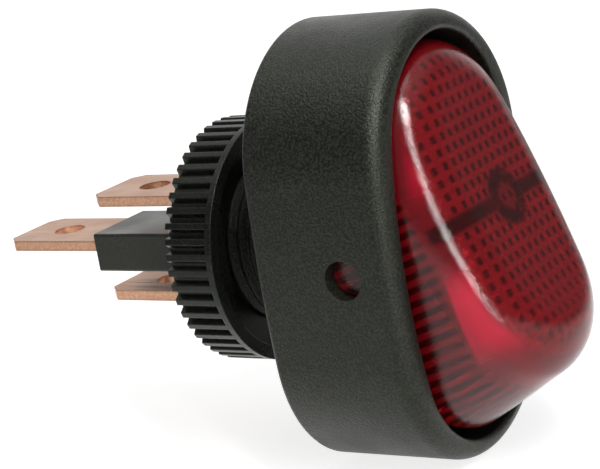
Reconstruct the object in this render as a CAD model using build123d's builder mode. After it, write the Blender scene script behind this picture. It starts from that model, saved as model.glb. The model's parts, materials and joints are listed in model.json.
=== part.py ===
from build123d import *
import math
import os

# Panel rocker switch with a round threaded stem, a red lit rocker and three push-on tabs.
# Millimetres. Z is up along the oval's length, the rocker faces -Y and the tabs point to +Y.
# The origin is on the stem's axis, in the face that lies on the panel.

# Bezel housing
bezel_length = 32.2
bezel_width = 20.6
bezel_depth = 11.0
bezel_bow = 0.2
bezel_end_wall = 1.45
bezel_side_wall = 1.8
bezel_floor = 0.8
opening_bow = 0.7
front_round = 1.3
rim_round = 0.35
back_round = 0.4
stem_radius = 6.0
stem_length = 10.5
stem_wall = 0.8
thread_pitch = 1.0
thread_depth = 0.4
thread_crest = 0.2
thread_root = 0.12
thread_start = 1.0

# Ring nut
nut_radius = 9.13
nut_thickness = 4.0
nut_stand = 4.6
nut_ridges = 50
nut_ridge_depth = 0.5
nut_ridge_foot = 0.72
nut_ridge_crest = 0.4
nut_rim = 0.5
nut_recess_depth = 0.8
nut_recess_wall = 1.0
nut_clearance = 0.06

# Rocker, drawn in its own tilted frame about the pivot
tilt = 21.0
pivot_depth = 7.0
pivot_hole_radius = 1.4
pivot_clearance = 0.08
trunnion_recess = 1.1
rocker_gap = 0.3
rocker_face_height = 8.2
rocker_end_setback = 2.35
rocker_end_draft = 12.4
rocker_face_round = 3.6
rocker_wall = 1.5
dish_rise = 1.2
lens_thickness = 1.4
waffle_pitch = 0.95
waffle_depth = 0.45
waffle_border = 0.5
flute_pitch = 0.9
flute_depth = 0.4
flute_share = 0.9
flute_top = 4.0
skirt_flat = 5.0
skirt_depth = 4.6
skirt_end_setback = 0.65
skirt_floor_gap = 0.26
post_radius = 2.0
post_depth = 4.2
web_thickness = 1.0
web_depth = 3.0
web_root = 0.5

# Plunger and its spring in the post
plunger_radius = 0.95
plunger_clearance = 0.1
plunger_tip = 5.1
plunger_length = 3.0
plunger_bore_height = 4.6
spring_wire = 0.26
spring_turns = 7

# Terminals and the base that carries them
tab_width = 6.3
tab_thickness = 0.8
tab_length = 9.4
tab_chamfer = 1.0
tab_bevel = 0.15
tab_hole_radius = 1.2
tab_hole_setback = 4.2
tab_spacing = 3.75
middle_tab_height = 0.2
shank_width = 4.0
slot_clearance = 0.05
block_width = 6.6
block_height = 3.0
block_drop = 0.5
block_length = 9.45
block_round = 0.2
base_clearance = 0.05
foot_reach = 1.45
ear_reach = 1.7
ear_height = 1.4

# Contacts
fulcrum_depth = 1.2
fulcrum_width = 3.2
fulcrum_gap = 0.05
blade_thickness = 0.5
wing_angle = 12.0
contact_tilt = 10.0
upper_wing = 4.1
lower_wing = 2.7
contact_reach = 3.2
moving_contact_radius = 0.8
moving_contact_thickness = 0.35
fixed_contact_radius = 0.9
fixed_contact_thickness = 0.4
contact_gap = 0.08
stop_radius = 0.45
stop_reach = 1.5

# Lamp, its leads, its contact plates and their springs
bulb_radius = 1.6
bulb_setback = 6.5
bulb_height = 3.2
lead_radius = 0.2
lead_run = 1.1
lead_inset = 0.5
lead_bend = 0.5
plate_side_gap = 1.6
plate_length = 2.0
plate_thickness = 0.4
plate_offset = 2.6
plate_height = 0.6
lamp_spring_offset_z = 2.5
lamp_spring_radius = 0.7
lamp_spring_side_gap = 0.3
lamp_spring_wire = 0.24
lamp_spring_turns = 6
lamp_spring_gap = 0.3

# Sizes that follow from the ones above
opening_length = bezel_length - 2 * bezel_end_wall
opening_width = bezel_width - 2 * bezel_side_wall
bore_radius = stem_radius - stem_wall
rocker_width = opening_width - 2 * rocker_gap
rocker_face_length = opening_length - 2 * rocker_end_setback
hollow_width = rocker_width - 2 * rocker_wall
lens_inside = rocker_face_height - lens_thickness
dish_radius = (rocker_face_length / 2) ** 2 / (2 * dish_rise) + dish_rise / 2
skirt_end = opening_length / 2 - skirt_end_setback
trunnion_radius = pivot_hole_radius - pivot_clearance
trunnion_end = bezel_width / 2 - trunnion_recess
plunger_bore = plunger_radius + plunger_clearance
plate_inside = post_radius + plunger_clearance
plate_width = hollow_width / 2 - plate_inside - plate_side_gap
lead_offset = plate_inside + plate_width - lead_inset
bulb_length = 2 * (lead_offset - lead_run)
lamp_spring_offset_x = post_radius + lamp_spring_side_gap + lamp_spring_radius
middle_blade_end = stem_length + block_length
closed_angle = math.radians(wing_angle - contact_tilt)
wing_back = fulcrum_gap + contact_reach * math.tan(closed_angle)
moving_back = moving_contact_thickness + moving_contact_radius * math.sin(closed_angle)
fixed_contact_front = -fulcrum_depth - wing_back + moving_back + contact_gap
foot_front = fixed_contact_front + fixed_contact_thickness
base_front = foot_front + tab_thickness

# The rocker's frame: across, along its length, and out of its face
tilt_sin = math.sin(math.radians(tilt))
tilt_cos = math.cos(math.radians(tilt))
pivot = (0, -pivot_depth, 0)
rocker_plane = Plane(origin=pivot, x_dir=(1, 0, 0), z_dir=(0, -tilt_cos, tilt_sin))
rocker_side = Plane(origin=pivot, x_dir=(0, tilt_sin, tilt_cos), z_dir=(1, 0, 0))
rocker_end = Plane(origin=pivot, x_dir=(1, 0, 0), z_dir=(0, -tilt_sin, -tilt_cos))
skirt_end_drop = skirt_end * tilt_sin - pivot_depth + bezel_floor + skirt_floor_gap
skirt_end_height = skirt_end_drop / tilt_cos
pivot_plane = Plane(origin=pivot, x_dir=(0, 1, 0), z_dir=(1, 0, 0))

# The moving contact's frame: along the blade upwards, and forwards off the fulcrum
lean_sin = math.sin(math.radians(contact_tilt))
lean_cos = math.cos(math.radians(contact_tilt))
fulcrum = (0, -fulcrum_depth, middle_tab_height)
contact_side = Plane(origin=fulcrum, x_dir=(0, -lean_sin, lean_cos), z_dir=(1, 0, 0))


def oval_arcs(length, width, bow):
    """Radii and centres of an oval's round ends and bowed sides, and the angle where they meet."""
    half = width / 2
    end_radius = half - bow
    end_centre = length / 2 - end_radius
    side_radius = (half**2 + end_centre**2 - end_radius**2) / (2 * bow)
    side_centre = side_radius - half
    turn = math.degrees(math.atan2(end_centre, side_centre))
    return end_radius, end_centre, side_radius, side_centre, turn


def oval(length, width, bow):
    """Four tangent arcs: round ends joined by sides that bow out a little."""
    end_radius, end_centre, side_radius, side_centre, turn = oval_arcs(length, width, bow)
    with BuildLine() as outline:
        CenterArc((-side_centre, 0), side_radius, -turn, 2 * turn)
        CenterArc((0, end_centre), end_radius, turn, 180 - 2 * turn)
        CenterArc((side_centre, 0), side_radius, 180 - turn, 2 * turn)
        CenterArc((0, -end_centre), end_radius, 180 + turn, 180 - 2 * turn)
    make_face(outline.edges())


def rocker_length_at(height):
    """Length of the rocker's drafted body at a height above the pivot."""
    draft = math.tan(math.radians(rocker_end_draft))
    return rocker_face_length + 2 * (rocker_face_height - height) * draft


def save(piece, name):
    piece.part.label = name
    export_step(piece.part, f"parts/{name}.step")


os.makedirs("parts", exist_ok=True)

# Thread groove: a trapezoid carried round the stem on a helix, out past the stem's end
thread_run = stem_length - thread_start + thread_pitch
thread_path = Helix(
    thread_pitch, thread_run, stem_radius, center=(0, thread_start, 0), direction=(0, 1, 0)
)
groove_mouth = (thread_pitch - thread_crest) / 2
groove_slope = (groove_mouth - thread_root / 2) / thread_depth
groove_over = thread_crest / 4
groove_top = groove_mouth + groove_over * groove_slope
with BuildPart() as thread_groove:
    with BuildLine():
        add(thread_path)
    with BuildSketch(Plane(origin=thread_path @ 0, x_dir=(0, 0, 1), z_dir=thread_path % 0)):
        Polygon(
            (groove_over, -groove_top),
            (groove_over, groove_top),
            (-thread_depth, thread_root / 2),
            (-thread_depth, -thread_root / 2),
            align=None,
        )
    sweep(path=thread_path, is_frenet=True)

# Bezel housing: oval cup, floor and threaded stem moulded in one
with BuildPart() as bezel_housing:
    with BuildSketch(Plane.XZ):
        oval(bezel_length, bezel_width, bezel_bow)
    extrude(amount=bezel_depth)
    front_edges = bezel_housing.faces().sort_by(Axis.Y)[0].edges()
    fillet(front_edges, front_round)
    back_edges = bezel_housing.faces().sort_by(Axis.Y)[-1].edges()
    fillet(back_edges, back_round)
    with BuildSketch(Plane.XZ.offset(bezel_floor)):
        oval(opening_length, opening_width, opening_bow)
    extrude(amount=bezel_depth, mode=Mode.SUBTRACT)
    rim_edges = bezel_housing.faces().sort_by(Axis.Y)[0].inner_wires()[0].edges()
    fillet(rim_edges, rim_round)
    with BuildSketch(Plane.XZ):
        Circle(stem_radius)
    extrude(amount=-stem_length)
    add(thread_groove.part, mode=Mode.SUBTRACT)
    with BuildSketch(Plane.XZ.offset(-stem_length)):
        Circle(bore_radius)
    extrude(amount=stem_length + bezel_floor, mode=Mode.SUBTRACT)
    with BuildSketch(pivot_plane):
        Circle(pivot_hole_radius)
    extrude(amount=bezel_width, both=True, mode=Mode.SUBTRACT)
save(bezel_housing, "bezel_housing")

# Ring nut with a ridged grip, a plain front rim and a dished front face
ridge_root = nut_radius - nut_ridge_depth
ridge_pitch = 2 * math.pi * nut_radius / nut_ridges
ridge_foot = nut_ridge_foot * ridge_pitch / 2
ridge_crest = nut_ridge_crest * ridge_pitch / 2
with BuildPart() as ring_nut:
    with BuildSketch(Plane.XZ.offset(-nut_stand - nut_thickness)):
        Circle(ridge_root)
        with PolarLocations(0, nut_ridges):
            Polygon(
                (ridge_root - nut_ridge_depth, -ridge_foot),
                (ridge_root, -ridge_foot),
                (nut_radius, -ridge_crest),
                (nut_radius, ridge_crest),
                (ridge_root, ridge_foot),
                (ridge_root - nut_ridge_depth, ridge_foot),
                align=None,
            )
        Circle(stem_radius + nut_clearance, mode=Mode.SUBTRACT)
    extrude(amount=nut_thickness)
    with BuildSketch(Plane.XZ.offset(-nut_stand - nut_rim)):
        Circle(nut_radius)
        Circle(stem_radius + nut_clearance, mode=Mode.SUBTRACT)
    extrude(amount=nut_rim)
    with BuildSketch(Plane.XZ.offset(-nut_stand - nut_recess_depth)):
        Circle(nut_radius - nut_recess_wall)
    extrude(amount=nut_recess_depth, mode=Mode.SUBTRACT)
save(ring_nut, "ring_nut")

# Terminal base: plug in the stem's bore, with a block that carries the middle tab further back
with BuildPart() as terminal_base:
    with BuildSketch(Plane.XZ.offset(-stem_length)):
        Circle(bore_radius - base_clearance)
    extrude(amount=stem_length - base_front)
    with BuildSketch(Plane.XZ.offset(-middle_blade_end)):
        with Locations((0, middle_tab_height - block_drop)):
            RectangleRounded(block_width, block_height, block_round)
    extrude(amount=block_length)
    with BuildSketch(Plane.XZ.offset(-middle_blade_end)):
        slot_width = shank_width + 2 * slot_clearance
        slot_height = tab_thickness + 2 * slot_clearance
        with Locations((0, tab_spacing), (0, middle_tab_height), (0, -tab_spacing)):
            Rectangle(slot_width, slot_height)
    extrude(amount=middle_blade_end - base_front, mode=Mode.SUBTRACT)
    stop_front = fulcrum_depth + fulcrum_gap + stop_reach * math.tan(closed_angle) - contact_gap
    with BuildSketch(Plane.XZ.offset(-base_front)):
        with Locations((0, middle_tab_height - stop_reach)):
            Circle(stop_radius)
    extrude(amount=base_front + stop_front)
save(terminal_base, "terminal_base")


def tab_outline(root, shoulder):
    """Flat blank of a terminal: narrow shank up to its shoulder, then the wide tab with its hole."""
    tip = shoulder + tab_length
    half_tab = tab_width / 2
    half_shank = shank_width / 2
    with BuildLine() as outline:
        Polyline(
            (-half_shank, root),
            (-half_shank, shoulder),
            (-half_tab, shoulder),
            (-half_tab, tip - tab_chamfer),
            (-half_tab + tab_chamfer, tip),
            (half_tab - tab_chamfer, tip),
            (half_tab, tip - tab_chamfer),
            (half_tab, shoulder),
            (half_shank, shoulder),
            (half_shank, root),
            close=True,
        )
    make_face(outline.edges())
    with Locations((0, tip - tab_hole_setback)):
        Circle(tab_hole_radius, mode=Mode.SUBTRACT)


# Load and ground terminals: the same stamping, one turned half round about the stem
end_planes = {
    "load_terminal": Plane.XY,
    "ground_terminal": Plane(origin=(0, 0, 0), x_dir=(-1, 0, 0), z_dir=(0, 0, -1)),
}
for terminal_name, terminal_plane in end_planes.items():
    blank_bottom = tab_spacing - tab_thickness / 2
    with BuildPart() as end_terminal:
        with BuildSketch(terminal_plane.offset(blank_bottom)):
            tab_outline(foot_front, stem_length)
        extrude(amount=tab_thickness)
        chamfer(end_terminal.edges().filter_by(Axis.X).group_by(Axis.Y)[-1], tab_bevel)
        with BuildSketch(terminal_plane.offset(blank_bottom - foot_reach)):
            with Locations((0, foot_front)):
                Rectangle(shank_width, tab_thickness, align=(Align.CENTER, Align.MIN))
        extrude(amount=foot_reach)
        with BuildSketch(terminal_plane.offset(lamp_spring_offset_z - ear_height / 2)):
            with Locations((-shank_width / 2, foot_front)):
                Rectangle(ear_reach, tab_thickness, align=(Align.MAX, Align.MIN))
        extrude(amount=ear_height)
    save(end_terminal, terminal_name)

# Supply terminal: longer shank through the block, with a ridge inside that the moving contact rocks on
with BuildPart() as supply_terminal:
    with BuildSketch(Plane.XY.offset(middle_tab_height - tab_thickness / 2)):
        tab_outline(base_front, middle_blade_end)
    extrude(amount=tab_thickness)
    chamfer(supply_terminal.edges().filter_by(Axis.X).group_by(Axis.Y)[-1], tab_bevel)
    with BuildSketch(Plane.YZ):
        half_blade = tab_thickness / 2
        with Locations((0, middle_tab_height)):
            with BuildLine():
                Polyline(
                    (-fulcrum_depth, 0),
                    (-fulcrum_depth + half_blade, half_blade),
                    (base_front, half_blade),
                    (base_front, -half_blade),
                    (-fulcrum_depth + half_blade, -half_blade),
                    close=True,
                )
            make_face()
    extrude(amount=fulcrum_width / 2, both=True)
save(supply_terminal, "supply_terminal")

# Fixed contact: silver disc on the load terminal's foot
contact_height = middle_tab_height + contact_reach
with BuildPart() as fixed_contact:
    with BuildSketch(Plane.XZ.offset(-foot_front)):
        with Locations((0, contact_height)):
            Circle(fixed_contact_radius)
    extrude(amount=fixed_contact_thickness)
    fillet(fixed_contact.edges().group_by(Axis.Y)[0], fixed_contact_thickness / 4)
save(fixed_contact, "fixed_contact")

# Moving contact: a shallow vee that rocks on the supply terminal's ridge
wing_rise = math.tan(math.radians(wing_angle))
with BuildPart() as contact_rocker:
    with BuildSketch(contact_side):
        with BuildLine():
            Polyline(
                (0, fulcrum_gap),
                (upper_wing, fulcrum_gap + upper_wing * wing_rise),
                (upper_wing, fulcrum_gap + upper_wing * wing_rise + blade_thickness),
                (0, fulcrum_gap + blade_thickness),
                (-lower_wing, fulcrum_gap + lower_wing * wing_rise + blade_thickness),
                (-lower_wing, fulcrum_gap + lower_wing * wing_rise),
                close=True,
            )
        make_face()
    extrude(amount=fulcrum_width / 2, both=True)
save(contact_rocker, "contact_rocker")

# Silver disc under the moving contact's upper wing
lean = math.radians(contact_tilt + wing_angle)
wing_normal = (0, math.cos(lean), math.sin(lean))
disc_at = contact_side.from_local_coords((contact_reach, fulcrum_gap + contact_reach * wing_rise, 0))
with BuildPart() as moving_contact:
    with BuildSketch(Plane(origin=disc_at, x_dir=(1, 0, 0), z_dir=wing_normal)):
        Circle(moving_contact_radius)
    extrude(amount=moving_contact_thickness)
save(moving_contact, "moving_contact")



def sawtooth(length):
    """Row of pointed teeth along the sketch's x axis, standing on the diffuser's level."""
    count = math.ceil(length / waffle_pitch)
    half = count * waffle_pitch / 2
    points = [(-half, lens_inside - waffle_depth)]
    for tooth in range(count):
        points.append((-half + tooth * waffle_pitch, lens_inside))
        points.append((-half + (tooth + 0.5) * waffle_pitch, lens_inside + waffle_depth))
    points.append((half, lens_inside))
    points.append((half, lens_inside - waffle_depth))
    with BuildLine() as outline:
        Polyline(*points, close=True)
    make_face(outline.edges())


# Diffuser: the pyramids that the mould's core presses into the underside of the rocker's face
waffle_length = rocker_length_at(lens_inside) - 2 * rocker_wall - 2 * waffle_border
waffle_width = hollow_width - 2 * waffle_border
with BuildPart() as diffuser:
    with BuildSketch(rocker_side):
        sawtooth(waffle_length)
    extrude(amount=waffle_width, both=True)
    with BuildSketch(rocker_end):
        sawtooth(waffle_width)
    extrude(amount=waffle_length, both=True, mode=Mode.INTERSECT)
    with BuildSketch(rocker_plane.offset(lens_inside - waffle_depth)):
        oval(waffle_length, waffle_width, opening_bow)
    extrude(amount=2 * waffle_depth, mode=Mode.INTERSECT)

# Flutes inside the rocker's wall: upright along the sides, leaning with the draft round the ends
body_bottom = -skirt_depth
hollow_length = rocker_length_at(body_bottom) - 2 * rocker_wall
end_radius, end_centre, side_radius, side_centre, turn = oval_arcs(hollow_length, hollow_width, opening_bow)
flute_half = flute_share * flute_pitch / 2
flute_shape = [
    (-flute_depth, -flute_half),
    (0, -flute_half),
    (flute_depth, 0),
    (0, flute_half),
    (-flute_depth, flute_half),
]
flute_height = flute_top - body_bottom
end_lean = math.tan(math.radians(rocker_end_draft))
end_count = int(math.radians(180 - 2 * turn) * end_radius / flute_pitch)
side_count = int(2 * math.radians(turn) * side_radius / flute_pitch)
with BuildPart() as flutes:
    for half_turn in (0, 180):
        with BuildSketch(rocker_plane.offset(body_bottom)):
            with Locations(Location((0, 0, 0), (0, 0, half_turn))):
                with Locations((-side_centre, 0)):
                    with PolarLocations(side_radius, side_count, -turn, 2 * turn, endpoint=True):
                        Polygon(*flute_shape, align=None)
        extrude(amount=flute_height)
        inward = -1 if half_turn == 0 else 1
        lean_dir = rocker_plane.z_dir + rocker_side.x_dir * (inward * end_lean)
        with BuildSketch(rocker_plane.offset(body_bottom)):
            with Locations(Location((0, 0, 0), (0, 0, half_turn))):
                with Locations((0, end_centre)):
                    with PolarLocations(end_radius, end_count, turn, 180 - 2 * turn, endpoint=True):
                        Polygon(*flute_shape, align=None)
        extrude(amount=flute_height * lean_dir.length, dir=lean_dir)

# Rocker: clear red cap with a dished face, a drafted oval body, trunnions, a hollow post and a web
with BuildPart() as rocker:
    with BuildSketch(rocker_plane.offset(body_bottom)):
        oval(rocker_length_at(body_bottom), rocker_width, opening_bow)
    blank_top = rocker_face_height + 2 * dish_rise
    with BuildSketch(rocker_plane.offset(blank_top)):
        oval(rocker_length_at(blank_top), rocker_width, opening_bow)
    loft()
    with BuildSketch(rocker_side):
        with Locations((0, rocker_face_height + dish_radius)):
            Circle(dish_radius)
    extrude(amount=rocker_width, both=True, mode=Mode.SUBTRACT)
    face_edges = rocker.faces().sort_by(Axis(pivot, rocker_plane.z_dir))[-1].edges()
    fillet(face_edges, rocker_face_round)
    with BuildSketch(rocker_plane.offset(body_bottom)):
        oval(hollow_length, hollow_width, opening_bow)
    with BuildSketch(rocker_plane.offset(lens_inside)):
        oval(rocker_length_at(lens_inside) - 2 * rocker_wall, hollow_width, opening_bow)
    loft(mode=Mode.SUBTRACT)
    add(diffuser.part, mode=Mode.SUBTRACT)
    add(flutes.part, mode=Mode.SUBTRACT)
    with BuildSketch(rocker_plane.offset(-web_depth)):
        Rectangle(hollow_width + 2 * web_root, web_thickness)
    extrude(amount=lens_inside + web_depth)
    with BuildSketch(rocker_plane.offset(lens_inside)):
        Rectangle(waffle_width, web_thickness)
    extrude(amount=waffle_depth)
    with BuildSketch(rocker_plane.offset(-post_depth)):
        Circle(post_radius)
    extrude(amount=lens_inside + waffle_depth + post_depth)
    with BuildSketch(rocker_plane.offset(-post_depth)):
        Circle(plunger_bore)
    extrude(amount=post_depth + plunger_bore_height, mode=Mode.SUBTRACT)
    shelf_height = plate_height + plate_thickness
    with BuildSketch(rocker_plane.offset(shelf_height)):
        shelf_width = lead_offset - lead_radius - plate_inside
        shelf_length = plate_offset + plate_length / 2
        with Locations((post_radius, 0)):
            Rectangle(shelf_width, shelf_length, align=(Align.MIN, Align.MAX))
        with Locations((-post_radius, 0)):
            Rectangle(shelf_width, shelf_length, align=(Align.MAX, Align.MIN))
    extrude(amount=plate_thickness)
    with BuildSketch(Plane(origin=pivot, x_dir=(1, 0, 0), z_dir=(0, tilt_sin, tilt_cos))):
        with Locations((-lead_offset, -bulb_height)):
            Circle(2 * lead_radius)
    extrude(amount=web_thickness, both=True, mode=Mode.SUBTRACT)
    skirt_slope = (skirt_end_height + skirt_depth) / (skirt_end - skirt_flat / 2)
    far_half = 2 * skirt_end
    far_level = -skirt_depth + (far_half - skirt_flat / 2) * skirt_slope
    with BuildSketch(rocker_side):
        with BuildLine():
            Polyline(
                (-skirt_flat / 2, -skirt_depth),
                (skirt_flat / 2, -skirt_depth),
                (far_half, far_level),
                (far_half, -far_half),
                (-far_half, -far_half),
                (-far_half, far_level),
                close=True,
            )
        make_face()
    extrude(amount=bezel_width, both=True, mode=Mode.SUBTRACT)
    trunnion_root = rocker_width / 2 - rocker_wall / 2
    for side in (1, -1):
        with BuildSketch(pivot_plane.offset(side * trunnion_root)):
            Circle(trunnion_radius)
        extrude(amount=side * (trunnion_end - trunnion_root))
save(rocker, "rocker")

# Plunger: round-nosed pin that slides in the post
with BuildPart() as plunger:
    with BuildSketch(rocker_side):
        with BuildLine():
            nose = -plunger_tip + plunger_radius
            top = -plunger_tip + plunger_length
            Line((0, top), (0, -plunger_tip))
            CenterArc((0, nose), plunger_radius, -90, 90)
            Polyline((plunger_radius, nose), (plunger_radius, top), (0, top))
        make_face()
    revolve(axis=Axis(pivot, rocker_plane.z_dir))
save(plunger, "plunger")


def coil(plane, radius, wire, length, turns):
    """Round-wire coil that starts on the plane and climbs along its normal."""
    rise = (length - wire) / turns
    start = plane.offset(wire / 2)
    path = Helix(rise, length - wire, radius - wire / 2, center=start.origin, direction=start.z_dir)
    with BuildPart() as spring:
        with BuildLine():
            add(path)
        with BuildSketch(Plane(origin=path @ 0, z_dir=path % 0)):
            Circle(wire / 2)
        sweep(path=path, is_frenet=True)
    return spring


# Plunger spring, between the plunger and the end of the post's bore
plunger_top = -plunger_tip + plunger_length
spring_length = plunger_bore_height - plunger_top
plunger_spring = coil(
    rocker_plane.offset(plunger_top), plunger_radius, spring_wire, spring_length, spring_turns
)
save(plunger_spring, "plunger_spring")

# Lamp: small tubular bulb across the rocker's lower half
bulb_at = rocker_plane.from_local_coords((0, -bulb_setback, bulb_height))
with BuildPart() as lamp_bulb:
    with BuildSketch(Plane(origin=bulb_at, x_dir=(1, 0, 0), z_dir=(0, -tilt_cos, tilt_sin))):
        half_bulb = bulb_length / 2
        with BuildLine():
            Line((-half_bulb, 0), (half_bulb, 0))
            CenterArc((half_bulb - bulb_radius, 0), bulb_radius, 0, 90)
            Line((half_bulb - bulb_radius, bulb_radius), (bulb_radius - half_bulb, bulb_radius))
            CenterArc((bulb_radius - half_bulb, 0), bulb_radius, 90, 90)
        make_face()
    revolve(axis=Axis(bulb_at, (1, 0, 0)))
save(lamp_bulb, "lamp_bulb")

# Each lamp lead runs from the bulb's end to the front of its contact plate
lead_sides = {"ground": 1, "load": -1}
for circuit, side in lead_sides.items():
    lead_end = -side * plate_offset
    corners = [
        (side * bulb_length / 2, -bulb_setback, bulb_height),
        (side * lead_offset, -bulb_setback, bulb_height),
        (side * lead_offset, lead_end, bulb_height),
        (side * lead_offset, lead_end, plate_height + plate_thickness),
    ]
    lead_points = [rocker_plane.from_local_coords(corner) for corner in corners]
    with BuildPart() as lamp_lead:
        with BuildLine() as lead_path:
            FilletPolyline(*lead_points, radius=lead_bend)
        with BuildSketch(Plane(origin=lead_path.line @ 0, z_dir=lead_path.line % 0)):
            Circle(lead_radius)
        sweep(path=lead_path.line)
    save(lamp_lead, f"lamp_lead_{circuit}")

    # The plate is held against the rocker's shelf and takes the spring's push
    plate_middle = side * (plate_inside + plate_width / 2)
    with BuildPart() as lamp_plate:
        with BuildSketch(rocker_plane.offset(plate_height)):
            with Locations((plate_middle, lead_end)):
                Rectangle(plate_width, plate_length)
        extrude(amount=plate_thickness)
    save(lamp_plate, f"lamp_plate_{circuit}")

    # Coil between the terminal's ear and the plate, short of the plate's tilted face
    plate_point = rocker_plane.from_local_coords((side * lamp_spring_offset_x, lead_end, plate_height))
    plate_slack = lamp_spring_radius * math.tan(math.radians(tilt)) + lamp_spring_gap
    ear_point = (side * lamp_spring_offset_x, foot_front, -side * lamp_spring_offset_z)
    lamp_spring = coil(
        Plane(origin=ear_point, x_dir=(1, 0, 0), z_dir=(0, -1, 0)),
        lamp_spring_radius,
        lamp_spring_wire,
        foot_front - plate_point.Y - plate_slack,
        lamp_spring_turns,
    )
    save(lamp_spring, f"lamp_spring_{circuit}")
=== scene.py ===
import json
import math
from types import SimpleNamespace

import bpy
from mathutils import Matrix, Vector


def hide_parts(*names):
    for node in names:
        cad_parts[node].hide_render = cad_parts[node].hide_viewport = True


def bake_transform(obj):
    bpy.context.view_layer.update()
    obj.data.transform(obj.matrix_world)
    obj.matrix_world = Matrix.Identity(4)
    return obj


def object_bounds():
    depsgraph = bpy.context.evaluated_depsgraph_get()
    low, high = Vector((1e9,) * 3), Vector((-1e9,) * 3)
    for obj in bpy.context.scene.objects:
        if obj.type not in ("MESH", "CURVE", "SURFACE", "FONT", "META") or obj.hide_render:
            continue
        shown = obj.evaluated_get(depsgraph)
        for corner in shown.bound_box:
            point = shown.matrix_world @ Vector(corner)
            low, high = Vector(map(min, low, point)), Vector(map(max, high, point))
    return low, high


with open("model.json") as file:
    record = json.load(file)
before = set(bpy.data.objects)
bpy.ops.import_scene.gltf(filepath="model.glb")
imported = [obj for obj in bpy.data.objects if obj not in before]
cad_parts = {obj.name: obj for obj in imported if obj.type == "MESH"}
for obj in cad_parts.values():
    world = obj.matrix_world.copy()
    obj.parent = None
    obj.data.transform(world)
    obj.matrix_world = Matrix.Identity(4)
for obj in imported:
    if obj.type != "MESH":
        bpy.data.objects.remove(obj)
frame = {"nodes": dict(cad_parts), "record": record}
cad_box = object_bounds()

MM = 0.001
scene = bpy.context.scene
scene.view_settings.view_transform = "Standard"

# Camera at the photograph's viewing angle: degrees, pixels of the 600 px wide picture, millimetres
VIEW_AZIMUTH = -54.79
VIEW_ELEVATION = 14.01
VIEW_ROLL = -9.82
PICTURE_WIDTH = 600
FOCAL_PIXELS = 2014.0
CAMERA_DISTANCE = 147.1
CAMERA_SHIFT_RIGHT = 2.55
CAMERA_SHIFT_UP = -0.14
SENSOR = 36.0
NEAREST_SEEN = 5.0


def make_camera():
    """Camera with its axes worked out from the view angles, then rolled about its line of sight."""
    azimuth = math.radians(VIEW_AZIMUTH)
    elevation = math.radians(VIEW_ELEVATION)
    roll = math.radians(VIEW_ROLL)
    flat = math.cos(elevation)
    back = Vector((math.sin(azimuth) * flat, -math.cos(azimuth) * flat, math.sin(elevation)))
    level = Vector((math.cos(azimuth), math.sin(azimuth), 0.0))
    upright = back.cross(level)
    right = math.cos(roll) * level + math.sin(roll) * upright
    up = math.cos(roll) * upright - math.sin(roll) * level
    place = (CAMERA_DISTANCE * back - CAMERA_SHIFT_RIGHT * right - CAMERA_SHIFT_UP * up) * MM
    data = bpy.data.cameras.new("camera")
    data.sensor_width = SENSOR
    data.sensor_fit = "HORIZONTAL"
    data.lens = SENSOR * FOCAL_PIXELS / PICTURE_WIDTH
    data.clip_start = NEAREST_SEEN * MM
    camera = bpy.data.objects.new("camera", data)
    axes = Matrix((right, up, back)).transposed()
    camera.matrix_world = Matrix.Translation(place) @ axes.to_4x4()
    scene.collection.objects.link(camera)
    scene.camera = camera


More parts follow.
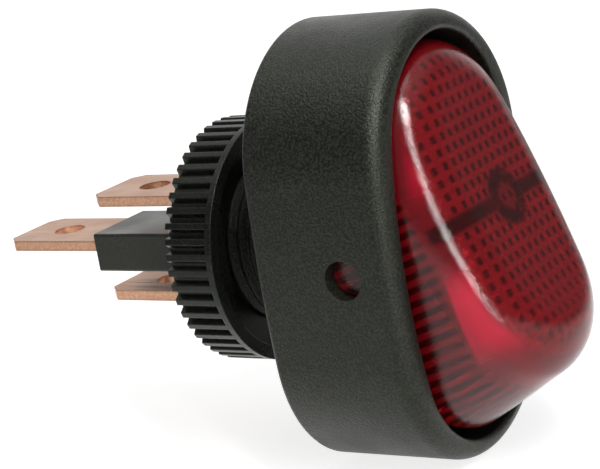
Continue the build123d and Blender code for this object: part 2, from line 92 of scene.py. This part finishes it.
class Tree:
    """Short way to write a node tree: add nodes with their values, and link sockets by name."""

    def __init__(self, owner):
        owner.use_nodes = True
        self.tree = owner.node_tree
        self.tree.nodes.clear()

    def add(self, kind, settings=None, **values):
        """New node. An underscore in a value's name stands for a space in the socket's name."""
        node = self.tree.nodes.new(kind)
        for name, value in (settings or {}).items():
            setattr(node, name, value)
        for name, value in values.items():
            self.put(node, name.replace("_", " "), value)
        return node

    def put(self, node, name, value):
        """Link a socket to a node's input, found by name or number, or set the input's own value."""
        socket = node.inputs[int(name)] if name.isdigit() else node.inputs[name]
        if isinstance(value, bpy.types.NodeSocket):
            self.tree.links.new(value, socket)
        else:
            socket.default_value = value

    def math(self, operation, first, second=0.0):
        node = self.add("ShaderNodeMath", {"operation": operation})
        self.put(node, "0", first)
        self.put(node, "1", second)
        return node.outputs[0]

    def product(self, first, *others):
        for other in others:
            first = self.math("MULTIPLY", first, other)
        return first

    def largest(self, first, *others):
        for other in others:
            first = self.math("MAXIMUM", first, other)
        return first

    def hypotenuse(self, first, second):
        squares = [self.math("POWER", self.math("ABSOLUTE", side), 2.0) for side in (first, second)]
        return self.math("SQRT", self.math("ADD", *squares))

    def dot(self, first, second):
        node = self.add("ShaderNodeVectorMath", {"operation": "DOT_PRODUCT"})
        self.put(node, "0", first)
        self.put(node, "1", second)
        return node.outputs["Value"]

    def along(self, where, direction, offset=0.0):
        """Distance in millimetres along a direction."""
        return self.math("ADD", self.dot(where, [part / MM for part in direction]), offset)

    def wave(self, value, pitch, phase=0.0):
        """Cosine of the given pitch."""
        turns = self.math("MULTIPLY", value, 2 * math.pi / pitch)
        return self.math("COSINE", self.math("ADD", turns, phase))

    def ramp(self, value, start, stop, first=0.0, last=1.0):
        """Smooth change from first to last while the value goes from start to stop."""
        node = self.add("ShaderNodeMapRange", {"interpolation_type": "SMOOTHSTEP"})
        numbers = (value, start, stop, first, last)
        for name, number in zip(("Value", "From Min", "From Max", "To Min", "To Max"), numbers):
            self.put(node, name, number)
        return node.outputs[0]

    def mix(self, share, first, second):
        """Mix of two numbers."""
        node = self.add("ShaderNodeMix")
        for name, value in (("0", share), ("2", first), ("3", second)):
            self.put(node, name, value)
        return node.outputs[0]

    def blend(self, share, first, second):
        """Mix of two colours."""
        node = self.add("ShaderNodeMix", {"data_type": "RGBA"})
        for name, value in (("0", share), ("6", first), ("7", second)):
            self.put(node, name, value)
        return node.outputs[2]

    def noise(self, where, scale, detail=3.0):
        """Noise with the given number of waves to the metre."""
        return self.add("ShaderNodeTexNoise", Vector=where, Scale=scale, Detail=detail).outputs["Fac"]

    def rounded(self, radius):
        """Normals as they would be with the sharp edges rounded, to a radius in millimetres."""
        return self.add("ShaderNodeBevel", {"samples": 4}, Radius=radius * MM).outputs[0]

    def open_sky(self, distance):
        """Share of the directions in which nothing stands within a distance in millimetres."""
        node = self.add("ShaderNodeAmbientOcclusion", {"samples": 6}, Distance=distance * MM)
        return node.outputs["AO"]

    def bump(self, height, strength, depth, **normal):
        """Normals of a rough surface, its depth in millimetres."""
        node = self.add("ShaderNodeBump", Height=height, Strength=strength, Distance=depth * MM, **normal)
        return node.outputs[0]

    def seen(self):
        """Whether a ray comes straight from the camera, and whether by a mirror or through glass."""
        path = self.add("ShaderNodeLightPath")
        mirrored = self.largest(path.outputs["Is Glossy Ray"], path.outputs["Is Transmission Ray"])
        return path.outputs["Is Camera Ray"], mirrored

    def surface(self, **values):
        """Principled shader with the given values as the material's surface."""
        shader = self.add("ShaderNodeBsdfPrincipled", **values)
        self.add("ShaderNodeOutputMaterial", Surface=shader.outputs[0])


def rgb(red, green, blue):
    return (red, green, blue, 1.0)


def grey(level):
    return rgb(level, level, level)


# World: strengths of its parts, and how near to their middle each part fades in, as a cosine
BACKDROP_WAY = (0.82, 0.57, 0.0)
BACKDROP_LIGHT = 1.0
BACKDROP_FADE = (0.45, 0.9)
CEILING_REFLECTED = 0.5
CEILING_FADE = (0.5, 0.85)
ROOM_LIGHT = 0.16
ROOM_REFLECTED = 0.14


def make_world():
    """White to the camera, an even room to the object, and a backdrop and ceiling in its reflections."""
    world = bpy.data.worlds.new("studio")
    scene.world = world
    tree = Tree(world)
    way = tree.add("ShaderNodeTexCoord").outputs["Generated"]
    straight, mirrored = tree.seen()
    backdrop = tree.ramp(tree.dot(way, BACKDROP_WAY), *BACKDROP_FADE, ROOM_REFLECTED, BACKDROP_LIGHT)
    height = tree.add("ShaderNodeSeparateXYZ", Vector=way).outputs["Z"]
    ceiling = tree.ramp(height, *CEILING_FADE, ROOM_REFLECTED, CEILING_REFLECTED)
    room = tree.mix(mirrored, ROOM_LIGHT, tree.largest(backdrop, ceiling))
    strength = tree.mix(straight, room, BACKDROP_LIGHT)
    background = tree.add("ShaderNodeBackground", Color=grey(1.0), Strength=strength)
    tree.add("ShaderNodeOutputWorld", Surface=background.outputs[0])


# Floor: millimetres, its paper as the camera and as other rays see it, and its glow near and far
FLOOR_HALF = 1500.0
FLOOR_GAP = 0.1
PAPER_STRAIGHT = grey(0.5)
PAPER_OTHERWISE = grey(0.75)
GLOW_DISTANCE = (80.0, 500.0)
GLOW_STRENGTH = (0.79, 1.0)

# Lit pool on the floor behind the object, as reflections show it, in millimetres
POOL_CENTRE = (45.0, 25.0)
POOL_EDGE = (45.0, 80.0)


def make_floor():
    """Pale floor that reads as white where it is lit and keeps a soft shadow."""
    half = FLOOR_HALF * MM
    low = cad_box[0][2] - FLOOR_GAP * MM
    corners = [(-half, -half, low), (half, -half, low), (half, half, low), (-half, half, low)]
    mesh = bpy.data.meshes.new("floor")
    mesh.from_pydata(corners, [], [(0, 1, 2, 3)])
    floor = bpy.data.objects.new("floor", mesh)
    scene.collection.objects.link(floor)

    material = bpy.data.materials.new("floor")
    tree = Tree(material)
    straight, mirrored = tree.seen()
    place = tree.add("ShaderNodeNewGeometry").outputs["Position"]
    aside = tree.along(place, (1.0, 0.0, 0.0), -POOL_CENTRE[0])
    behind = tree.along(place, (0.0, 1.0, 0.0), -POOL_CENTRE[1])
    pool = tree.ramp(tree.hypotenuse(aside, behind), *POOL_EDGE, 1.0, 0.0)
    shown = tree.largest(straight, tree.product(mirrored, pool))
    away = tree.add("ShaderNodeVectorMath", {"operation": "LENGTH"}, Vector=place).outputs["Value"]
    level = tree.ramp(away, *(distance * MM for distance in GLOW_DISTANCE), *GLOW_STRENGTH)
    paper = tree.blend(straight, PAPER_OTHERWISE, PAPER_STRAIGHT)
    diffuse = tree.add("ShaderNodeBsdfDiffuse", Color=paper)
    glow = tree.add("ShaderNodeEmission", Color=grey(1.0), Strength=tree.product(shown, level))
    both = tree.add("ShaderNodeAddShader")
    tree.put(both, "0", diffuse.outputs[0])
    tree.put(both, "1", glow.outputs[0])
    tree.add("ShaderNodeOutputMaterial", Surface=both.outputs[0])
    mesh.materials.append(material)


# Lamps: where each stands from the object and its size, in metres, and its power in watts
LAMPS = {
    "key": ((-0.247, -0.322, 0.203), (0.022, 0.62), 1.35),
    "top": ((-0.05, 0.02, 0.45), (0.4, 0.4), 0.7),
    "spark": ((-0.17, -0.28, 0.38), (0.04, 0.16), 0.75),
}


def make_lamps():
    for name, (place, size, power) in LAMPS.items():
        data = bpy.data.lights.new(name, "AREA")
        data.shape = "RECTANGLE"
        data.size, data.size_y = size
        data.energy = power
        lamp = bpy.data.objects.new(name, data)
        lamp.location = place
        lamp.rotation_euler = (-Vector(place)).to_track_quat("-Z", "Y").to_euler()
        scene.collection.objects.link(lamp)


make_camera()
make_world()
make_floor()
make_lamps()


def new_material(name):
    """Material, its tree and the coordinates that a surface can be painted by."""
    material = bpy.data.materials.new(name)
    tree = Tree(material)
    return material, tree, tree.add("ShaderNodeTexCoord").outputs


# Moulded plastic: spans of the noise in which its grain and its gloss change
GRAIN_SPAN = (0.38, 0.66)
GRAIN_STRENGTH = 0.8
GLOSS_SCALE = 260.0
GLOSS_SPAN = (0.3, 0.7)
GLOSS_SPREAD = 0.06
PLASTIC_IOR = 1.5
PLASTIC_GLINT = rgb(0.94, 1.0, 0.84)


def moulded_plastic(name, dark, pale, rough, grain_scale, grain_depth, edge):
    """Moulded plastic: fine pitted grain, faint mottling and edges that are a little round."""
    material, tree, coordinates = new_material(name)
    where = coordinates["Object"]
    grain = tree.noise(where, grain_scale)
    gloss = tree.noise(where, GLOSS_SCALE)
    tree.surface(
        Base_Color=tree.blend(tree.ramp(grain, *GRAIN_SPAN), rgb(*dark), rgb(*pale)),
        Roughness=tree.ramp(gloss, *GLOSS_SPAN, rough - GLOSS_SPREAD, rough + GLOSS_SPREAD),
        Normal=tree.bump(grain, GRAIN_STRENGTH, grain_depth, Normal=tree.rounded(edge)),
        IOR=PLASTIC_IOR,
        Specular_Tint=PLASTIC_GLINT,
    )
    return material


# Copper strip: colours of its rolled faces, its sheared sides, and of its dark burrs and the shade painted
# in its holes
COPPER_FACE = (rgb(0.46, 0.255, 0.16), rgb(0.57, 0.345, 0.235))
COPPER_LINE = rgb(0.62, 0.40, 0.29)
COPPER_SIDE = (rgb(0.80, 0.43, 0.26), rgb(0.95, 0.58, 0.40))
COPPER_BURR_AND_HOLE_SHADE = rgb(0.20, 0.075, 0.035)
COPPER_METAL = 0.9

# Its noises in waves to the metre, the spans in which each acts, and sizes in millimetres
ROLLING = (5000.0, 160.0, 5000.0)
LINE_SPAN = (0.45, 0.8)
LINE_STRENGTH = 0.15
LINE_DEPTH = 0.01
BLOTCH_SCALE = 420.0
SHEAR_SCALE = 5200.0
SPECKLE_DETAIL = 4.0
SPECKLE_SPAN = (0.3, 0.7)
COPPER_ROUGHNESS = (0.30, 0.48)
FACE_SPAN = (0.3, 0.8)
BURR_RADIUS = 0.3
BURR_SPAN = (0.8, 0.985)
BURR_SHARE = 0.75
# Painted shade in the holes and hollows: how far it looks for nearby pieces, the span of open sky over
# which it fades, and its share
HOLE_DISTANCE = 1.6
HOLE_SPAN = (0.45, 0.9)
HOLE_SHARE = 0.8


def copper_strip(name):
    """Rolled copper: burnished faces with fine lines, mottled sheared sides, dark burrs, and painted shade
    in its holes and hollows.
    """
    material, tree, coordinates = new_material(name)
    where = coordinates["Object"]
    stretched = tree.add("ShaderNodeMapping", Vector=where, Scale=ROLLING).outputs[0]
    lines = tree.noise(stretched, 1.0)
    blotches = tree.ramp(tree.noise(where, BLOTCH_SCALE, SPECKLE_DETAIL), *SPECKLE_SPAN)
    face = tree.blend(tree.ramp(lines, *LINE_SPAN), tree.blend(blotches, *COPPER_FACE), COPPER_LINE)
    shear = tree.ramp(tree.noise(where, SHEAR_SCALE, SPECKLE_DETAIL), *SPECKLE_SPAN)
    side = tree.blend(shear, *COPPER_SIDE)
    facing = tree.add("ShaderNodeSeparateXYZ", Vector=coordinates["Normal"]).outputs["Z"]
    tone = tree.blend(tree.ramp(tree.math("ABSOLUTE", facing), *FACE_SPAN), side, face)

    surface_normal = tree.add("ShaderNodeNewGeometry").outputs["True Normal"]
    turned = tree.dot(tree.rounded(BURR_RADIUS), surface_normal)
    burr = tree.ramp(turned, *BURR_SPAN, BURR_SHARE, 0.0)
    # Painted shade: darker where nearby pieces close off the sky, as in the holes
    painted_hole_shade = tree.ramp(tree.open_sky(HOLE_DISTANCE), *HOLE_SPAN, HOLE_SHARE, 0.0)
    tree.surface(
        Base_Color=tree.blend(tree.largest(burr, painted_hole_shade), tone, COPPER_BURR_AND_HOLE_SHADE),
        Roughness=tree.ramp(lines, *SPECKLE_SPAN, *COPPER_ROUGHNESS),
        Normal=tree.bump(lines, LINE_STRENGTH, LINE_DEPTH),
        Metallic=COPPER_METAL,
    )
    return material


# Plated metal: its noise, and how far its roughness goes below and above the middle
PLATING_SCALE = 1800.0
PLATING_SPREAD = (-0.06, 0.1)


def plated_metal(name, dark, pale, rough):
    """Small plated pieces: fine mottled metal."""
    material, tree, coordinates = new_material(name)
    mottle = tree.noise(coordinates["Object"], PLATING_SCALE, SPECKLE_DETAIL)
    tree.surface(
        Base_Color=tree.blend(mottle, rgb(*dark), rgb(*pale)),
        Roughness=tree.mix(mottle, *(rough + spread for spread in PLATING_SPREAD)),
        Metallic=1.0,
    )
    return material


# Bulb: its glass, its noises in waves to the metre, and the ripple's depth in millimetres
GLASS_TONES = (rgb(0.93, 0.96, 0.96), rgb(0.97, 0.98, 0.98))
GLASS_IOR = 1.5
GLASS_FLOW_SCALE = 300.0
GLASS_RIPPLE_SCALE = 2500.0
GLASS_DETAIL = 2.0
GLASS_RIPPLE_STRENGTH = 0.08
GLASS_RIPPLE_DEPTH = 0.01


def bulb_glass(name):
    """Clear glass: tint that varies a little, faint surface ripple."""
    material, tree, coordinates = new_material(name)
    where = coordinates["Object"]
    ripple = tree.noise(where, GLASS_RIPPLE_SCALE, GLASS_DETAIL)
    tree.surface(
        Base_Color=tree.blend(tree.noise(where, GLASS_FLOW_SCALE, GLASS_DETAIL), *GLASS_TONES),
        Roughness=0.0,
        IOR=GLASS_IOR,
        Transmission_Weight=1.0,
        Normal=tree.bump(ripple, GLASS_RIPPLE_STRENGTH, GLASS_RIPPLE_DEPTH),
    )
    return material


# Rocker's own directions and sizes, in millimetres, for the marks in its plastic and the shade and glow
# painted on it
ROCKER_TILT = math.radians(21.0)
PIVOT_DEPTH = 7.0
FACE_HEIGHT = 8.2
LENS_FLOOR = (5.8, 6.4)
WAFFLE_PITCH = 0.95
WAFFLE_HALF_WIDTH = 6.7
WAFFLE_END_CENTRE = 4.6
WAFFLE_EDGE = (WAFFLE_HALF_WIDTH - 0.3, WAFFLE_HALF_WIDTH)
FLUTE_PITCH = 0.9
FLUTE_TOP = 4.2
FLUTE_RISE = 1.6
FLUTE_FADE = 0.6
END_CENTRE = 4.8
END_LEAN = 0.22
RISE_SPAN = (1.0, END_CENTRE + WAFFLE_HALF_WIDTH)
POST_RADIUS = 2.0
POST_BORE = 1.15
WEB_HALF = 0.5

# Soft edges of the painted shade over the post and the web, and its share over the post's bore
BORE_EDGE = (POST_BORE - 0.4, POST_BORE + 0.2)
POST_EDGE = (POST_RADIUS - 0.3, POST_RADIUS + 0.4)
WEB_START = (POST_RADIUS - 0.3, POST_RADIUS + 0.2)
WEB_EDGE = (WEB_HALF - 0.3, WEB_HALF + 0.4)
BORE_SHARE = 0.3

# Heights of the waves between which a pit's column, a pit's row and a flute's stripe come in
PIT_COLUMN = (-0.3, 1.0)
PIT_ROW = (-0.9, 0.5)
STRIPE = (-0.35, 0.35)

# Wall above the flutes, painted darker as shade, and where along it and how far from the bezel it gets a
# painted glow
WALL_FOOT = (-0.2, 0.2)
WALL_EDGE = (6.6, 7.2)
GLOW_START = (1.5, 4.5)
GLOW_STOP = (7.5, 10.5)
CLEAR_DISTANCE = 6.0
CLEAR_SPAN = (0.87, 0.99)

# Red plastic: colours, how clear it is, and its surface
RED_BODY = (rgb(0.37, 0.007, 0.013), rgb(0.48, 0.011, 0.020))
# Red painted on the wall as shade, and brighter red painted where it stands clear of the bezel as glow
RED_WALL_SHADE = rgb(0.37, 0.008, 0.016)
RED_PAINTED_GLOW = rgb(0.95, 0.008, 0.055)
# Darker red of the pits' and flutes' pattern, and of the painted shade over the post and web
RED_MARK_AND_SHADE = rgb(0.27, 0.005, 0.008)
BODY_CLEAR = 0.68
GLOW_CLEAR = 0.48
MARK_CLEAR = 0.9
LENS_IOR = 1.58
LENS_ROUGHNESS = 0.1
FLOW_SCALE = 350.0
RIPPLE_SCALE = 9000.0
RIPPLE_DETAIL = 2.0
RIPPLE_DEPTH = 0.012


def rocker_place(tree, where):
    """Distances in the rocker's own directions, from its pivot, its middle and the tops of its flutes."""
    lean, rise = math.sin(ROCKER_TILT), math.cos(ROCKER_TILT)
    place = SimpleNamespace()
    place.across = tree.along(where, (1.0, 0.0, 0.0))
    place.length = tree.along(where, (0.0, lean, rise), PIVOT_DEPTH * lean)
    place.height = tree.along(where, (0.0, -rise, lean), -PIVOT_DEPTH * rise)
    place.wide = tree.math("ABSOLUTE", place.across)
    place.far = tree.math("ABSOLUTE", place.length)
    past_end = tree.largest(tree.math("SUBTRACT", place.far, WAFFLE_END_CENTRE), 0.0)
    place.out = tree.hypotenuse(place.wide, past_end)
    flute_top = tree.ramp(place.far, *RISE_SPAN, FLUTE_TOP + FLUTE_RISE, FLUTE_TOP)
    place.over_flutes = tree.math("SUBTRACT", place.height, flute_top)
    return place


def diffuser_pits(tree, place):
    """Rows and columns of pits under the face."""
    columns = tree.ramp(tree.wave(place.across, WAFFLE_PITCH, math.pi), *PIT_COLUMN)
    rows = tree.ramp(tree.wave(place.length, WAFFLE_PITCH), *PIT_ROW)
    inside = tree.ramp(place.out, *WAFFLE_EDGE, 1.0, 0.0)
    return tree.product(columns, rows, inside, tree.ramp(place.height, *LENS_FLOOR))


def flute_stripes(tree, place):
    """Stripes over the flutes, straight along the sides and leaning round the ends."""
    below_face = tree.math("SUBTRACT", FACE_HEIGHT, place.height)
    centre = tree.math("ADD", tree.product(below_face, END_LEAN), END_CENTRE)
    beyond = tree.largest(tree.math("SUBTRACT", place.far, centre), 0.0)
    bend = tree.product(tree.math("ARCTAN2", beyond, place.wide), WAFFLE_HALF_WIDTH)
    run = tree.math("ADD", tree.math("MINIMUM", place.far, centre), bend)
    stripes = tree.ramp(tree.wave(run, FLUTE_PITCH), *STRIPE)
    return tree.product(stripes, tree.ramp(place.over_flutes, -FLUTE_FADE, 0.0, 1.0, 0.0))


def post_and_web_shade(tree, place):
    """Ring and bar of painted shade where the post and the web stand under the face."""
    from_post = tree.hypotenuse(place.across, place.length)
    bore = tree.ramp(from_post, *BORE_EDGE, BORE_SHARE, 1.0)
    ring = tree.product(bore, tree.ramp(from_post, *POST_EDGE, 1.0, 0.0))
    web = tree.product(tree.ramp(place.far, *WEB_EDGE, 1.0, 0.0), tree.ramp(from_post, *WEB_START))
    return tree.product(tree.largest(ring, web), tree.ramp(place.height, *LENS_FLOOR))


def wall_shade_and_glow(tree, place):
    """Masks of the wall between the flutes and the face, painted darker as shade, and of the stretch of it
    that stands clear of the bezel, which gets a painted glow.
    """
    wall = tree.product(tree.ramp(place.over_flutes, *WALL_FOOT), tree.ramp(place.out, *WALL_EDGE))
    stretch = tree.product(tree.ramp(place.far, *GLOW_START), tree.ramp(place.far, *GLOW_STOP, 1.0, 0.0))
    clear = tree.ramp(tree.open_sky(CLEAR_DISTANCE), *CLEAR_SPAN)
    return wall, tree.product(wall, stretch, clear)


def red_rocker(name):
    """Red plastic, milky in the body, clearer and darker at the diffuser's pits, flutes, post and web, the
    darkening over the post and web being painted shade; the wall is painted darker as shade, and brighter
    red as a painted glow where it stands clear of the bezel.
    """
    material, tree, coordinates = new_material(name)
    where = coordinates["Object"]
    place = rocker_place(tree, where)
    # Pits and flutes are the plastic's own pattern; the mark over the post and web is painted shade
    marks_and_shade = tree.largest(
        diffuser_pits(tree, place), flute_stripes(tree, place), post_and_web_shade(tree, place)
    )
    wall, glow = wall_shade_and_glow(tree, place)
    body = tree.blend(tree.noise(where, FLOW_SCALE), *RED_BODY)
    # Painted shade on the wall, then a painted glow on its stretch clear of the bezel
    body = tree.blend(wall, body, RED_WALL_SHADE)
    body = tree.blend(glow, body, RED_PAINTED_GLOW)
    ripple = tree.noise(where, RIPPLE_SCALE, RIPPLE_DETAIL)
    tree.surface(
        Base_Color=tree.blend(marks_and_shade, body, RED_MARK_AND_SHADE),
        Roughness=LENS_ROUGHNESS,
        IOR=LENS_IOR,
        Transmission_Weight=tree.ramp(marks_and_shade, 0.0, 1.0, tree.mix(glow, BODY_CLEAR, GLOW_CLEAR), MARK_CLEAR),
        Normal=tree.bump(ripple, 1.0, RIPPLE_DEPTH),
    )
    return material


# Plastics by name: dark and pale tone, roughness, grain in waves to the metre, its depth and edges in mm
PLASTICS = {
    "black_nylon": ((0.003, 0.0033, 0.0025), (0.022, 0.0235, 0.0175), 0.37, 6000.0, 0.08, 0.1),
    "smooth_nylon": ((0.003, 0.0033, 0.0025), (0.011, 0.0118, 0.009), 0.3, 5000.0, 0.02, 0.15),
    "base_phenolic": ((0.016, 0.0165, 0.014), (0.024, 0.024, 0.021), 0.32, 4000.0, 0.01, 0.1),
    "white_nylon": ((0.74, 0.72, 0.66), (0.82, 0.80, 0.75), 0.4, 3000.0, 0.01, 0.1),
}

# Metals by name: dark and pale tone, roughness
METALS = {
    "silver": ((0.75, 0.74, 0.71), (0.90, 0.89, 0.87), 0.28),
    "spring_steel": ((0.45, 0.45, 0.46), (0.68, 0.68, 0.68), 0.3),
    "tinned": ((0.6, 0.6, 0.58), (0.78, 0.78, 0.76), 0.35),
}

# Piece with a finish of its own: the nut is the housing's nylon from a smoother mould
OWN_FINISH = {"ring_nut": "smooth_nylon"}


def dress_pieces():
    """Give each CAD piece the material of its slot, or its own."""
    finishes = {name: moulded_plastic(name, *values) for name, values in PLASTICS.items()}
    finishes.update({name: plated_metal(name, *values) for name, values in METALS.items()})
    for name, make in (("copper", copper_strip), ("red_lens", red_rocker), ("bulb_glass", bulb_glass)):
        finishes[name] = make(name)
    for subpart in frame["record"]["subparts"]:
        materials = frame["nodes"][subpart["node"]].data.materials
        materials.clear()
        materials.append(finishes[OWN_FINISH.get(subpart["node"], subpart["material_slot"])])


def live_coil(node_name):
    """Lamp spring, with its foot on the terminal and its head on the rocker, copied into an object of its
    own with its transform baked in; the CAD piece is hidden.
    """
    spring = frame["nodes"][node_name]
    coil = bpy.data.objects.new(f"{node_name}_coil", spring.data.copy())
    scene.collection.objects.link(coil)
    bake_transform(coil)
    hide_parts(node_name)


dress_pieces()
for circuit in ("load", "ground"):
    live_coil(f"lamp_spring_{circuit}")
